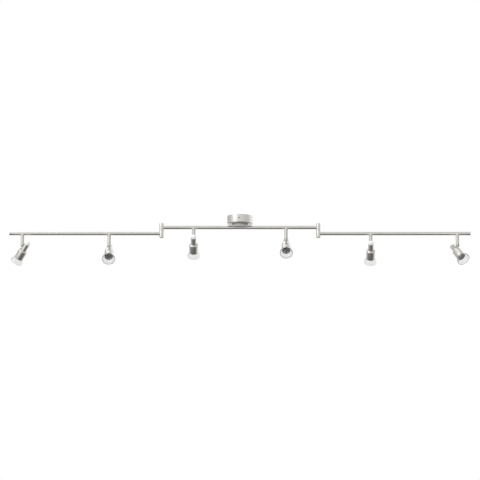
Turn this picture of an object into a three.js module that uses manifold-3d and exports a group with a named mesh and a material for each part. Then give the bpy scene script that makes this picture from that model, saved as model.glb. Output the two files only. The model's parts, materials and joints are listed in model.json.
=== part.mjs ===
// A ceiling bar of six small spots. A straight centre tube hangs under a round canopy, two arms
// swivel on upright knuckles at its ends, and each spot has a stem that pans and a hinge that tilts.
//
// Millimetres. The origin is the middle of the bracket's top face, where it meets the ceiling.
// +X runs along the bar, -Y faces the room and +Z points up.
import * as THREE from "three";
import { mergeVertices } from "three/addons/utils/BufferGeometryUtils.js";
import Module from "manifold-3d";

const wasm = await Module();
wasm.setup();

// ---- Driving dimensions ----

// Clearances
const FIT = 0.3; // between pieces that rest on each other or pass through each other
const RUNNING = 0.4; // between faces that turn past each other

// Sides of the round pieces
const WIDE_SIDES = 24;
const ROUND_SIDES = 16;
const SMALL_SIDES = 8;

// Canopy, bracket and hub
const CANOPY_RADIUS = 50;
const CANOPY_HEIGHT = 31;
const CANOPY_EDGE = 1.5; // bevel round the bottom edge
const SHEET = 1.2; // pressed steel of the canopy and the bracket
const BRACKET_WIDTH = 16;
const BRACKET_TAB = 21; // how far the end tabs hang down
const BRACKET_SLOT_WIDTH = 5.5;
const BRACKET_SLOT_LENGTH = 16;
const BRACKET_SLOT_FROM_CENTRE = 31;
const CANOPY_SCREW_RADIUS = 1.5;
const CANOPY_SCREW_HEAD_RADIUS = 2.8;
const CANOPY_SCREW_HEAD = 1.6;
const CANOPY_SCREW_LENGTH = 8;
const CANOPY_SCREW_DROP = 14.5; // below the ceiling
const CANOPY_SCREW_TURN = -4; // degrees round from the front
const TERMINAL_SIZE = new THREE.Vector3(30, 14, 12);
const TERMINAL_HOLE_RADIUS = 1.6;
const TERMINAL_POLES = 3;
const HUB_NECK_RADIUS = 22; // between the canopy and the hub's disc
const HUB_NECK_HEIGHT = 1;
const HUB_RADIUS = 31.25;
const HUB_HEIGHT = 12; // the disc alone
const HUB_EDGE = 1.2;
const NIPPLE_RADIUS = 4;
const NIPPLE_BORE_RADIUS = 2.8;
const NIPPLE_NUT_RADIUS = 8;
const NIPPLE_NUT_HEIGHT = 5;
const NIPPLE_ABOVE_NUT = 3;

// Tubes and knuckles
const CENTRE_SPAN = 611.6; // from one knuckle's axis to the other's
const ARM_LENGTH = 593.8; // from a knuckle's axis to the end cap's face
const TUBE_RADIUS = 6.75;
const TUBE_WALL = 1;
const END_CAP_DISC = 1.6;
const END_CAP_PLUG = 8;
const END_CAP_EDGE = 0.6;
const KNUCKLE_RADIUS = 8.75;
const KNUCKLE_HALF_HEIGHT = 28.2;
const KNUCKLE_EDGE = 0.6;
const TUBE_FROM_SPLIT = 12.05; // a tube's axis above or below the knuckle's split
const PIVOT_RADIUS = 3;
const PIVOT_BORE_RADIUS = 1.5;
const PIVOT_HEAD_RADIUS = 5.5;
const PIVOT_HEAD_HEIGHT = 3;
const PIVOT_HEAD_RECESS = 1; // the head's face above the knuckle's lower end
const TUBE_STOP = 4; // the tube's end from the knuckle's axis

// Spots: where their stems hang
const CENTRE_SPOT = 180.2; // from the middle of the bar
const ARM_INNER_SPOT = 204.2; // from the knuckle's axis
const ARM_END_SPOT = 51.3; // from the end cap's face
const SPOT_TILT = 45; // degrees from straight down

// Stem, from the tube's axis down to the hinge
const STEM_RADIUS = 6.75;
const STEM_EDGE = 0.5;
const STEM_BORE_RADIUS = 1.6;
const SADDLE_LIP = 2.25; // the saddle's lower face below the tube
const SPIGOT_RADIUS = 3;
const SPIGOT_HEAD_RADIUS = 4.4;
const SPIGOT_HEAD_HEIGHT = 1.5;
const SPIGOT_HEAD_DROP = 1; // the head's top below the tube's axis
const HINGE_DROP = 49; // the hinge's axis below the tube's axis
const STEM_TIP = 4.2; // below the hinge's axis
const STEM_TIP_RADIUS = 4.5;
const FORK_GAP = 6;
const FORK_GAP_TOP = 6.8; // above the hinge's axis
const HINGE_RADIUS = 1.5;
const HINGE_HEAD_RADIUS = 2.8;
const HINGE_HEAD_HEIGHT = 1;
const HINGE_SEAT = 5.6; // the ears' flats from the stem's axis

// Spot head, from the rear of its dome
const BARREL_RADIUS = 10.75; // the narrow rear half
const DOME_LENGTH = 12.8; // the barrel's rounded rear end
const BELL_RADIUS = 17.5; // the wide front half
const HOUSING_WALL = 1.2;
const HINGE_FROM_REAR = 34.2;
const HINGE_GAP = 0.45; // between stem and barrel when the head hangs straight down
const SHOULDER_FROM_REAR = 41.8;
const SHOULDER_ROUND = 3.5;
const MOUTH_FROM_REAR = 80.8;
const LUG_RADIUS = 4.2;
const LUG_FOOT = 6; // half its length on the barrel
const REFLECTOR_WALL = 0.8;
const REFLECTOR_LENGTH = 30;
const REFLECTOR_MOUTH_DEPTH = 5; // inside the housing's mouth
const REFLECTOR_LIP = 1.3;
const REFLECTOR_STEPS = 3;
const LAMPHOLDER_LENGTH = 22;
const LAMP_RADIUS = 6.3;
const LAMP_LENGTH = 35;
const LAMP_BASE = 9;
const LAMP_PIN_RADIUS = 0.6;
const LAMP_PIN_LENGTH = 6;
const LAMP_PIN_SPACING = 9;

// Glass shade: a neck inside the housing's mouth, then a cup that flares out and turns straight
const GLASS_WALL = 1.9;
const GLASS_NECK = 4;
const GLASS_LENGTH = 19.3;
const GLASS_RADIUS = 25.2;
const GLASS_FLARE_STEPS = 3;

// ---- Places that follow from them ----

const HUB_UNDERSIDE = -(CANOPY_HEIGHT + HUB_NECK_HEIGHT + HUB_HEIGHT);
const TUBE_Z = HUB_UNDERSIDE; // the hub is let down over the tube's upper half
const SPLIT_Z = TUBE_Z - TUBE_FROM_SPLIT;
const ARM_Z = SPLIT_Z - TUBE_FROM_SPLIT;
const KNUCKLE_X = CENTRE_SPAN / 2;
const SADDLE_DROP = TUBE_RADIUS + SADDLE_LIP;
const STEM_TOP = -(SADDLE_DROP + RUNNING);
const HINGE_OFFSET = BARREL_RADIUS + STEM_RADIUS + HINGE_GAP;
const TUBE_BORE_RADIUS = TUBE_RADIUS - TUBE_WALL;
const BARREL_BORE_RADIUS = BARREL_RADIUS - HOUSING_WALL;
const BELL_BORE_RADIUS = BELL_RADIUS - HOUSING_WALL;

// ---- Materials ----

function material(color, roughness, metalness) {
  return new THREE.MeshStandardMaterial({ color, roughness, metalness });
}

const satinNickel = material(0xc6c3bb, 0.3, 1);
const matteNickel = material(0xaaa8a2, 0.6, 1);
const zincSteel = material(0xa9abad, 0.45, 1);
const screwSteel = material(0x55534f, 0.4, 1);
const brass = material(0xb59a5b, 0.35, 1);
const nylon = material(0xe8e6df, 0.6, 0);
const ceramic = material(0xeeeae2, 0.5, 0);
const mirrorAluminium = material(0xdcdcdc, 0.12, 1);
const lampGlass = material(0xf4f1e8, 0.3, 0);
const clearGlass = material(0xf2f6f6, 0.05, 0);
clearGlass.transparent = true;
clearGlass.opacity = 0.35;

// ---- Shapes ----

function toSolid(geometry) {
  const bare = new THREE.BufferGeometry();
  bare.setAttribute("position", geometry.getAttribute("position"));
  bare.setIndex(geometry.index);
  const merged = mergeVertices(bare, 1e-4);
  return new wasm.Manifold(
    new wasm.Mesh({
      numProp: 3,
      vertProperties: new Float32Array(merged.getAttribute("position").array),
      triVerts: new Uint32Array(merged.index.array),
    }),
  );
}

function toGeometry(solid) {
  const mesh = solid.getMesh();
  const geometry = new THREE.BufferGeometry();
  geometry.setAttribute("position", new THREE.BufferAttribute(mesh.vertProperties, 3));
  geometry.setIndex(new THREE.BufferAttribute(mesh.triVerts, 1));
  geometry.computeVertexNormals();
  return geometry;
}

function join(first, ...others) {
  return toGeometry(others.reduce((whole, g) => whole.add(toSolid(g)), toSolid(first)));
}

function cut(first, ...tools) {
  return toGeometry(tools.reduce((whole, g) => whole.subtract(toSolid(g)), toSolid(first)));
}

// A round rod along an axis, from one place on it to another.
function rod(axis, radius, from, to, sides = SMALL_SIDES) {
  const geometry = new THREE.CylinderGeometry(radius, radius, to - from, sides);
  geometry.translate(0, (from + to) / 2, 0);
  if (axis === "x") geometry.rotateZ(-Math.PI / 2);
  if (axis === "z") geometry.rotateX(Math.PI / 2);
  return geometry;
}

// A box between two corners.
function block(low, high) {
  const size = new THREE.Vector3().subVectors(high, low);
  const geometry = new THREE.BoxGeometry(size.x, size.y, size.z);
  return geometry.translate(low.x + size.x / 2, low.y + size.y / 2, low.z + size.z / 2);
}

// A profile of [radius, height] points turned round the Z axis. It runs upwards on the outside.
function turned(profile, sides = ROUND_SIDES) {
  const points = profile.map(([radius, height]) => new THREE.Vector2(radius, height));
  return new THREE.LatheGeometry(points, sides).rotateX(Math.PI / 2);
}

// Points of an ellipse round [cx, cy], from one angle in degrees to another.
function arc(cx, cy, rx, ry, from, to, steps) {
  return Array.from({ length: steps + 1 }, (_, i) => {
    const angle = THREE.MathUtils.degToRad(from + ((to - from) * i) / steps);
    return [cx + rx * Math.cos(angle), cy + ry * Math.sin(angle)];
  });
}

// How far a face may stand from the axis inside a round wall of flat sides, at half its width.
function reachInside(radius, sides, halfWidth) {
  return Math.sqrt((radius * Math.cos(Math.PI / sides)) ** 2 - halfWidth ** 2) - FIT;
}

// ---- Canopy group: bracket, canopy, terminal block, screws, hub and nipple ----

const canopyBoreRadius = CANOPY_RADIUS - SHEET;
const tabFace = reachInside(canopyBoreRadius, WIDE_SIDES, BRACKET_WIDTH / 2);

function ceilingBracket() {
  const half = BRACKET_WIDTH / 2;
  const strip = block(
    new THREE.Vector3(-half, -tabFace, -SHEET),
    new THREE.Vector3(half, tabFace, 0),
  );
  const tabs = [-1, 1].map((side) =>
    block(
      new THREE.Vector3(-half, side > 0 ? tabFace - SHEET : -tabFace, -BRACKET_TAB),
      new THREE.Vector3(half, side > 0 ? tabFace : SHEET - tabFace, -SHEET / 2),
    ),
  );
  const slots = [-1, 1].map((side) => {
    const centre = side * BRACKET_SLOT_FROM_CENTRE;
    return block(
      new THREE.Vector3(-BRACKET_SLOT_WIDTH / 2, centre - BRACKET_SLOT_LENGTH / 2, -2 * SHEET),
      new THREE.Vector3(BRACKET_SLOT_WIDTH / 2, centre + BRACKET_SLOT_LENGTH / 2, SHEET),
    );
  });
  const threads = rod("y", CANOPY_SCREW_RADIUS + FIT, -CANOPY_RADIUS, CANOPY_RADIUS);
  threads.translate(0, 0, -CANOPY_SCREW_DROP);
  return cut(join(strip, ...tabs), ...slots, threads);
}

function canopy() {
  const floor = -CANOPY_HEIGHT;
  const hole = NIPPLE_RADIUS + FIT;
  const shell = turned(
    [
      [hole, floor],
      [CANOPY_RADIUS - CANOPY_EDGE, floor],
      [CANOPY_RADIUS, floor + CANOPY_EDGE],
      [CANOPY_RADIUS, 0],
      [canopyBoreRadius, 0],
      [canopyBoreRadius, floor + SHEET + CANOPY_EDGE],
      [canopyBoreRadius - CANOPY_EDGE, floor + SHEET],
      [hole, floor + SHEET],
      [hole, floor],
    ],
    WIDE_SIDES,
  );
  const holes = rod("y", CANOPY_SCREW_RADIUS + FIT, -2 * CANOPY_RADIUS, 2 * CANOPY_RADIUS);
  holes.translate(0, 0, -CANOPY_SCREW_DROP);
  holes.rotateZ(THREE.MathUtils.degToRad(CANOPY_SCREW_TURN));
  return cut(shell, holes);
}

// A pan head screw along Y, its head's underside against the canopy's wall.
function canopyScrew() {
  const seat = CANOPY_RADIUS + FIT;
  const insideHead = -seat - CANOPY_SCREW_HEAD / 2;
  const shank = rod("y", CANOPY_SCREW_RADIUS, insideHead, CANOPY_SCREW_LENGTH - seat);
  const head = rod("y", CANOPY_SCREW_HEAD_RADIUS, -seat - CANOPY_SCREW_HEAD, -seat);
  return join(shank, head).translate(0, 0, -CANOPY_SCREW_DROP);
}

function terminalBlock() {
  const half = TERMINAL_SIZE.clone().multiplyScalar(0.5);
  const top = -SHEET - FIT;
  const body = block(
    new THREE.Vector3(-half.x, -half.y, top - TERMINAL_SIZE.z),
    new THREE.Vector3(half.x, half.y, top),
  );
  const pitch = TERMINAL_SIZE.x / TERMINAL_POLES;
  const wires = Array.from({ length: TERMINAL_POLES }, (_, i) =>
    rod("y", TERMINAL_HOLE_RADIUS, -TERMINAL_SIZE.y, TERMINAL_SIZE.y).translate(
      pitch * (i + 0.5) - half.x,
      0,
      top - half.z,
    ),
  );
  return cut(body, ...wires);
}

function hub() {
  const top = -CANOPY_HEIGHT - FIT;
  const discTop = -CANOPY_HEIGHT - HUB_NECK_HEIGHT;
  const hole = NIPPLE_RADIUS + FIT;
  const disc = turned(
    [
      [hole, HUB_UNDERSIDE],
      [HUB_RADIUS - HUB_EDGE, HUB_UNDERSIDE],
      [HUB_RADIUS, HUB_UNDERSIDE + HUB_EDGE],
      [HUB_RADIUS, discTop],
      [HUB_NECK_RADIUS, discTop],
      [HUB_NECK_RADIUS, top],
      [hole, top],
      [hole, HUB_UNDERSIDE],
    ],
    WIDE_SIDES,
  );
  const groove = rod("x", TUBE_RADIUS + FIT, -2 * HUB_RADIUS, 2 * HUB_RADIUS, ROUND_SIDES);
  return cut(disc, groove.translate(0, 0, TUBE_Z));
}

// The hollow threaded rod that clamps canopy and hub to the centre tube, with its hexagon nut.
function hubNipple() {
  const nutFace = -CANOPY_HEIGHT + SHEET + FIT;
  const low = TUBE_Z + TUBE_BORE_RADIUS - TUBE_WALL;
  const high = nutFace + NIPPLE_NUT_HEIGHT + NIPPLE_ABOVE_NUT;
  const body = join(
    rod("z", NIPPLE_RADIUS, low, high, ROUND_SIDES),
    rod("z", NIPPLE_NUT_RADIUS, nutFace, nutFace + NIPPLE_NUT_HEIGHT, 6),
  );
  return cut(body, rod("z", NIPPLE_BORE_RADIUS, low - 1, high + 1, ROUND_SIDES));
}

// ---- Tubes, end caps and knuckles ----

// A tube along X with a saddle under it at each stem, and a bore for the stem's spigot in each.
function tubeWithSaddles(from, to, stems) {
  const saddles = stems.map((x) => rod("z", STEM_RADIUS, -SADDLE_DROP, 0, ROUND_SIDES).translate(x, 0, 0));
  const bores = stems.map((x) =>
    rod("z", SPIGOT_RADIUS + FIT, -2 * SADDLE_DROP, 0, ROUND_SIDES).translate(x, 0, 0),
  );
  return cut(
    join(rod("x", TUBE_RADIUS, from, to, ROUND_SIDES), ...saddles),
    rod("x", TUBE_BORE_RADIUS, from - 1, to + 1, ROUND_SIDES),
    ...bores,
  );
}

function centreTube() {
  const end = KNUCKLE_X - TUBE_STOP;
  const tube = tubeWithSaddles(-end, end, [-CENTRE_SPOT, CENTRE_SPOT]);
  return cut(tube, rod("z", NIPPLE_RADIUS + FIT, 0, 2 * TUBE_RADIUS, ROUND_SIDES));
}

// An arm's tube, from the knuckle's axis outwards along +X.
function armTube() {
  const end = ARM_LENGTH - END_CAP_DISC - FIT;
  return tubeWithSaddles(TUBE_STOP, end, [ARM_INNER_SPOT, ARM_LENGTH - ARM_END_SPOT]);
}

function endCap() {
  const inner = ARM_LENGTH - END_CAP_DISC;
  const plug = TUBE_BORE_RADIUS - FIT;
  const cap = turned([
    [0, inner - END_CAP_PLUG],
    [plug, inner - END_CAP_PLUG],
    [plug, inner],
    [TUBE_RADIUS, inner],
    [TUBE_RADIUS, ARM_LENGTH - END_CAP_EDGE],
    [TUBE_RADIUS - END_CAP_EDGE, ARM_LENGTH],
    [0, ARM_LENGTH],
  ]);
  return cap.rotateY(Math.PI / 2);
}

// The knuckle's upper half, round its own axis, with its split at z 0 and its tube along -X.
function knuckleTop() {
  const low = RUNNING / 2;
  const high = KNUCKLE_HALF_HEIGHT;
  const body = turned([
    [0, low],
    [KNUCKLE_RADIUS, low],
    [KNUCKLE_RADIUS, high - KNUCKLE_EDGE],
    [KNUCKLE_RADIUS - KNUCKLE_EDGE, high],
    [0, high],
  ]);
  const socket = rod("x", TUBE_RADIUS + FIT, -2 * KNUCKLE_RADIUS, -TUBE_STOP / 2, ROUND_SIDES);
  const bore = rod("z", PIVOT_RADIUS + FIT, -1, pivotTop + FIT, ROUND_SIDES);
  return cut(body, socket.translate(0, 0, TUBE_FROM_SPLIT), bore);
}

// The lower half, with its tube along +X and a recess for the pivot's head in its lower end.
function knuckleBottom() {
  const low = -KNUCKLE_HALF_HEIGHT;
  const high = -RUNNING / 2;
  const seat = pivotHeadTop + FIT;
  const body = turned([
    [PIVOT_RADIUS + FIT, seat],
    [PIVOT_HEAD_RADIUS + FIT, seat],
    [PIVOT_HEAD_RADIUS + FIT, low],
    [KNUCKLE_RADIUS - KNUCKLE_EDGE, low],
    [KNUCKLE_RADIUS, low + KNUCKLE_EDGE],
    [KNUCKLE_RADIUS, high],
    [PIVOT_RADIUS + FIT, high],
    [PIVOT_RADIUS + FIT, seat],
  ]);
  const socket = rod("x", TUBE_RADIUS + FIT, TUBE_STOP / 2, 2 * KNUCKLE_RADIUS, ROUND_SIDES);
  return cut(body, socket.translate(0, 0, -TUBE_FROM_SPLIT));
}

// The hollow bolt that the arm swivels on. Its two side ports let the leads through.
const pivotTop = TUBE_FROM_SPLIT + TUBE_RADIUS;
const pivotHeadLow = PIVOT_HEAD_RECESS - KNUCKLE_HALF_HEIGHT;
const pivotHeadTop = pivotHeadLow + PIVOT_HEAD_HEIGHT;

function pivot() {
  const boreFloor = -TUBE_FROM_SPLIT - TUBE_RADIUS / 2;
  const body = turned([
    [0, pivotHeadLow],
    [PIVOT_HEAD_RADIUS, pivotHeadLow],
    [PIVOT_HEAD_RADIUS, pivotHeadTop],
    [PIVOT_RADIUS, pivotHeadTop],
    [PIVOT_RADIUS, pivotTop],
    [PIVOT_BORE_RADIUS, pivotTop],
    [PIVOT_BORE_RADIUS, boreFloor],
    [0, boreFloor],
  ]);
  const ports = [
    rod("x", PIVOT_BORE_RADIUS, -2 * PIVOT_RADIUS, 0).translate(0, 0, TUBE_FROM_SPLIT),
    rod("x", PIVOT_BORE_RADIUS, 0, 2 * PIVOT_RADIUS).translate(0, 0, -TUBE_FROM_SPLIT),
  ];
  return cut(body, ...ports);
}

// ---- Stem and hinge, from the tube's axis down. The head aims along -Y, the hinge lies on X ----

function stem() {
  const headTop = -SPIGOT_HEAD_DROP;
  const headLow = headTop - SPIGOT_HEAD_HEIGHT;
  const body = turned([
    [0, -HINGE_DROP - STEM_TIP],
    [STEM_TIP_RADIUS, -HINGE_DROP - STEM_TIP],
    [STEM_RADIUS, -HINGE_DROP],
    [STEM_RADIUS, STEM_TOP - STEM_EDGE],
    [STEM_RADIUS - STEM_EDGE, STEM_TOP],
    [SPIGOT_RADIUS, STEM_TOP],
    [SPIGOT_RADIUS, headLow],
    [SPIGOT_HEAD_RADIUS, headLow],
    [SPIGOT_HEAD_RADIUS, headTop],
    [0, headTop],
  ]);
  const far = 2 * STEM_RADIUS;
  const gap = block(
    new THREE.Vector3(-FORK_GAP / 2, -far, -HINGE_DROP - far),
    new THREE.Vector3(FORK_GAP / 2, far, FORK_GAP_TOP - HINGE_DROP),
  );
  const wires = rod("z", STEM_BORE_RADIUS, -HINGE_DROP, 1);
  const pinHole = rod("x", HINGE_RADIUS + FIT, -far, far).translate(0, 0, -HINGE_DROP);
  const seats = [
    rod("x", HINGE_HEAD_RADIUS + FIT, HINGE_SEAT, far).translate(0, 0, -HINGE_DROP),
    rod("x", HINGE_HEAD_RADIUS + FIT, -far, -HINGE_SEAT).translate(0, 0, -HINGE_DROP),
  ];
  return cut(body, gap, wires, pinHole, ...seats);
}

// A sleeve screw through both ears and the lug, with a head at each end.
function hingeScrew() {
  const seat = HINGE_SEAT + FIT;
  return join(
    rod("x", HINGE_RADIUS, -seat - HINGE_HEAD_HEIGHT / 2, seat + HINGE_HEAD_HEIGHT / 2),
    rod("x", HINGE_HEAD_RADIUS, seat, seat + HINGE_HEAD_HEIGHT),
    rod("x", HINGE_HEAD_RADIUS, -seat - HINGE_HEAD_HEIGHT, -seat),
  ).translate(0, 0, -HINGE_DROP);
}

// ---- Spot head: rear of its dome at z 0, mouth downwards. The hinge is on its -Y side ----

function housing() {
  const shoulderRadius = BELL_RADIUS - SHOULDER_ROUND;
  const innerShoulder = SHOULDER_FROM_REAR + HOUSING_WALL;
  const shell = turned([
    [0, -HOUSING_WALL],
    ...arc(0, -DOME_LENGTH, BARREL_BORE_RADIUS, DOME_LENGTH - HOUSING_WALL, 50, 0, 1),
    [BARREL_BORE_RADIUS, -innerShoulder],
    [BELL_BORE_RADIUS - SHOULDER_ROUND / 2, -innerShoulder],
    [BELL_BORE_RADIUS, -innerShoulder - SHOULDER_ROUND / 2],
    [BELL_BORE_RADIUS, -MOUTH_FROM_REAR],
    [BELL_RADIUS, -MOUTH_FROM_REAR],
    ...arc(shoulderRadius, -SHOULDER_FROM_REAR - SHOULDER_ROUND, SHOULDER_ROUND, SHOULDER_ROUND, 0, 90, 2),
    [BARREL_RADIUS, -SHOULDER_FROM_REAR],
    ...arc(0, -DOME_LENGTH, BARREL_RADIUS, DOME_LENGTH, 0, 60, 2),
    [0, 0],
  ]);
  const hole = rod("x", HINGE_RADIUS + FIT, -STEM_RADIUS, STEM_RADIUS);
  return cut(join(shell, lug()), hole.translate(0, -HINGE_OFFSET, -HINGE_FROM_REAR));
}

// The hinge's lug: a plate across X, round at the hinge and let into the barrel's wall.
function lug() {
  const thickness = FORK_GAP - 2 * FIT;
  const foot = HINGE_OFFSET - BARREL_RADIUS + HOUSING_WALL * 0.8;
  const outline = new THREE.Shape();
  outline.moveTo(-foot, -LUG_FOOT);
  outline.lineTo(0, -LUG_RADIUS);
  outline.absarc(0, 0, LUG_RADIUS, -Math.PI / 2, Math.PI / 2, false);
  outline.lineTo(-foot, LUG_FOOT);
  outline.closePath();
  const plate = new THREE.ExtrudeGeometry(outline, {
    depth: thickness,
    bevelEnabled: false,
    curveSegments: 6,
  });
  plate.translate(0, 0, -thickness / 2);
  // The outline's +X becomes -Y, its +Y becomes +Z and its depth lies along X.
  const turn = new THREE.Matrix4().makeBasis(
    new THREE.Vector3(0, -1, 0),
    new THREE.Vector3(0, 0, 1),
    new THREE.Vector3(-1, 0, 0),
  );
  return plate.applyMatrix4(turn).translate(0, -HINGE_OFFSET, -HINGE_FROM_REAR);
}

function reflector() {
  const mouth = -MOUTH_FROM_REAR + REFLECTOR_MOUTH_DEPTH;
  const rear = mouth + REFLECTOR_LENGTH;
  const lip = BELL_BORE_RADIUS - FIT;
  const bowl = lip - REFLECTOR_LIP;
  const throat = LAMP_RADIUS + FIT;
  const flare = bowl - throat;
  const outer = arc(
    throat + REFLECTOR_WALL,
    mouth + REFLECTOR_WALL,
    flare,
    REFLECTOR_LENGTH - REFLECTOR_WALL,
    0,
    90,
    REFLECTOR_STEPS,
  );
  const inner = arc(throat, mouth, flare, REFLECTOR_LENGTH, 90, 0, REFLECTOR_STEPS);
  return turned([
    [bowl, mouth],
    [lip, mouth],
    [lip, mouth + REFLECTOR_WALL],
    ...outer,
    [throat, rear],
    ...inner.slice(1, -1),
    [bowl, mouth],
  ]);
}

const holderFace = -MOUTH_FROM_REAR + REFLECTOR_MOUTH_DEPTH + LAMP_LENGTH + FIT;

function pins(radius, length) {
  return [-1, 1].map((side) =>
    rod("z", radius, holderFace - LAMP_BASE / 2, holderFace + length).translate(
      (side * LAMP_PIN_SPACING) / 2,
      0,
      0,
    ),
  );
}

function lampholder() {
  const radius = BARREL_BORE_RADIUS - FIT;
  const body = rod("z", radius, holderFace, holderFace + LAMPHOLDER_LENGTH, ROUND_SIDES);
  return cut(body, ...pins(LAMP_PIN_RADIUS + FIT, LAMP_PIN_LENGTH + FIT));
}

function lamp() {
  const top = holderFace - FIT;
  const tip = top - LAMP_LENGTH;
  const bulb = turned(
    [
      [0, tip],
      ...arc(0, tip + LAMP_RADIUS, LAMP_RADIUS, LAMP_RADIUS, -50, 0, 1),
      [LAMP_RADIUS, top],
      [0, top],
    ],
    12,
  );
  return join(bulb, ...pins(LAMP_PIN_RADIUS, LAMP_PIN_LENGTH));
}

function glassShade() {
  const neckRadius = BELL_BORE_RADIUS - FIT;
  const neckRear = -MOUTH_FROM_REAR + GLASS_NECK;
  const seat = -MOUTH_FROM_REAR - FIT;
  const rim = seat - GLASS_LENGTH;
  const flare = GLASS_RADIUS - BELL_RADIUS;
  const inside = BELL_RADIUS - GLASS_WALL;
  return turned([
    [neckRadius - GLASS_WALL, neckRear],
    ...arc(inside, rim, flare, -seat + rim + GLASS_WALL, -90, 0, GLASS_FLARE_STEPS),
    ...arc(BELL_RADIUS, rim, flare, seat - rim, 0, 90, GLASS_FLARE_STEPS),
    [neckRadius, seat],
    [neckRadius, neckRear],
    [neckRadius - GLASS_WALL, neckRear],
  ]);
}

// ---- Assembly ----

function piece(name, geometry, finish) {
  const mesh = new THREE.Mesh(geometry, finish);
  mesh.name = name;
  return mesh;
}

function group(x, y, z, ...children) {
  const made = new THREE.Group();
  made.position.set(x, y, z);
  if (children.length) made.add(...children);
  return made;
}

// A spot: the stem's group turns by its pan, and the head's group inside it by its tilt.
function spot(number, pan) {
  const name = (what) => `spot_${number}_${what}`;
  const head = group(
    0,
    HINGE_OFFSET,
    HINGE_FROM_REAR,
    piece(name("housing"), housing(), satinNickel),
    piece(name("reflector"), reflector(), mirrorAluminium),
    piece(name("lampholder"), lampholder(), ceramic),
    piece(name("lamp"), lamp(), lampGlass),
    piece(name("glass_shade"), glassShade(), clearGlass),
  );
  const tilted = group(0, 0, -HINGE_DROP, head);
  tilted.rotation.x = -THREE.MathUtils.degToRad(SPOT_TILT);
  const panned = group(
    0,
    0,
    0,
    piece(name("stem"), stem(), satinNickel),
    piece(name("hinge_screw"), hingeScrew(), zincSteel),
    tilted,
  );
  panned.rotation.z = THREE.MathUtils.degToRad(pan);
  return panned;
}

// Where each spot hangs and which way it looks: 0 degrees is the room's side, 90 is +X.
const armInner = KNUCKLE_X + ARM_INNER_SPOT;
const armOuter = KNUCKLE_X + ARM_LENGTH - ARM_END_SPOT;
const SPOTS = [
  { x: -armOuter, z: ARM_Z, pan: -134 },
  { x: -armInner, z: ARM_Z, pan: 0 },
  { x: -CENTRE_SPOT, z: TUBE_Z, pan: 180 },
  { x: CENTRE_SPOT, z: TUBE_Z, pan: 0 },
  { x: armInner, z: ARM_Z, pan: 180 },
  { x: armOuter, z: ARM_Z, pan: 38 },
];

const fixture = new THREE.Group();

const screwed = group(
  0,
  0,
  0,
  piece("ceiling_bracket", ceilingBracket(), zincSteel),
  piece("terminal_block", terminalBlock(), nylon),
  piece("canopy_screw_front", canopyScrew(), screwSteel),
  piece("canopy_screw_rear", canopyScrew().rotateZ(Math.PI), screwSteel),
);
screwed.rotation.z = THREE.MathUtils.degToRad(CANOPY_SCREW_TURN);
fixture.add(
  screwed,
  piece("canopy", canopy(), satinNickel),
  piece("hub", hub(), matteNickel),
  piece("hub_nipple", hubNipple(), brass),
  group(0, 0, TUBE_Z, piece("centre_tube", centreTube(), satinNickel)),
);

for (const [side, turn] of [
  ["left", Math.PI],
  ["right", 0],
]) {
  const x = side === "left" ? -KNUCKLE_X : KNUCKLE_X;
  const knuckle = group(
    x,
    0,
    SPLIT_Z,
    piece(`${side}_knuckle_top`, knuckleTop(), satinNickel),
    piece(`${side}_knuckle_bottom`, knuckleBottom(), satinNickel),
    piece(`${side}_pivot`, pivot(), screwSteel),
  );
  const arm = group(
    x,
    0,
    ARM_Z,
    piece(`${side}_arm_tube`, armTube(), satinNickel),
    piece(`${side}_end_cap`, endCap(), satinNickel),
  );
  knuckle.rotation.z = turn;
  arm.rotation.z = turn;
  fixture.add(knuckle, arm);
}

SPOTS.forEach(({ x, z, pan }, i) => {
  fixture.add(group(x, 0, z, spot(i + 1, pan)));
});

export default fixture;
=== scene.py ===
import json
import math

import bmesh
import bpy
from mathutils import Matrix, Vector


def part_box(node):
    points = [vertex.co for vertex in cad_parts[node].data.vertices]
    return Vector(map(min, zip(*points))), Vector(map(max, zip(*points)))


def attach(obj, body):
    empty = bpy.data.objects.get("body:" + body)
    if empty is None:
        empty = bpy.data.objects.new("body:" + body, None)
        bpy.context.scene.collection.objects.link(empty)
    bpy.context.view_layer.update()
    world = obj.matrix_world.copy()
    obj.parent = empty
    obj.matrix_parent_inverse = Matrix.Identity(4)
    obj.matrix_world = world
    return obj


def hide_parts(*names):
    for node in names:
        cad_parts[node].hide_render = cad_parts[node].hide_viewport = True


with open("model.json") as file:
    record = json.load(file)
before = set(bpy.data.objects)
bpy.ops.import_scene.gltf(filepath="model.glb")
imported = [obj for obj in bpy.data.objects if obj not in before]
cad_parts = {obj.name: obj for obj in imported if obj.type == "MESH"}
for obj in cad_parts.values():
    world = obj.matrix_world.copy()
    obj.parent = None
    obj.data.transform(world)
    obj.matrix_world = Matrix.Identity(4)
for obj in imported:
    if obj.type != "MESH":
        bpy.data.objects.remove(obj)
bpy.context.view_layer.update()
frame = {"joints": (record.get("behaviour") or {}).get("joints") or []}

joints = {joint["name"]: joint for joint in frame["joints"]}


# ---- Studio ----
# A camera in the room that looks up at the bar, so far off that every spot comes out alike.
# Soft light from all round, brightest above and dark under the bar, and a pale floor far below.
CAMERA_DISTANCE = 10.0
CAMERA_BELOW = math.radians(11)
VIEW_WIDTH = 1.872
AIM = Vector((0.0002, 0, -0.0938))
FLOOR_Z = -9.0
FLOOR_SIZE = 120

camera = bpy.data.objects.new("camera", bpy.data.cameras.new("camera"))
bpy.context.scene.collection.objects.link(camera)
bpy.context.scene.camera = camera
camera.data.lens = camera.data.sensor_width * CAMERA_DISTANCE / VIEW_WIDTH
camera.data.clip_end = 200
toward_camera = Vector((0, -math.cos(CAMERA_BELOW), -math.sin(CAMERA_BELOW)))
camera.location = AIM + toward_camera * CAMERA_DISTANCE
camera.rotation_euler = (-toward_camera).to_track_quat("-Z", "Y").to_euler()
bpy.context.scene.view_settings.view_transform = "Standard"

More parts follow.
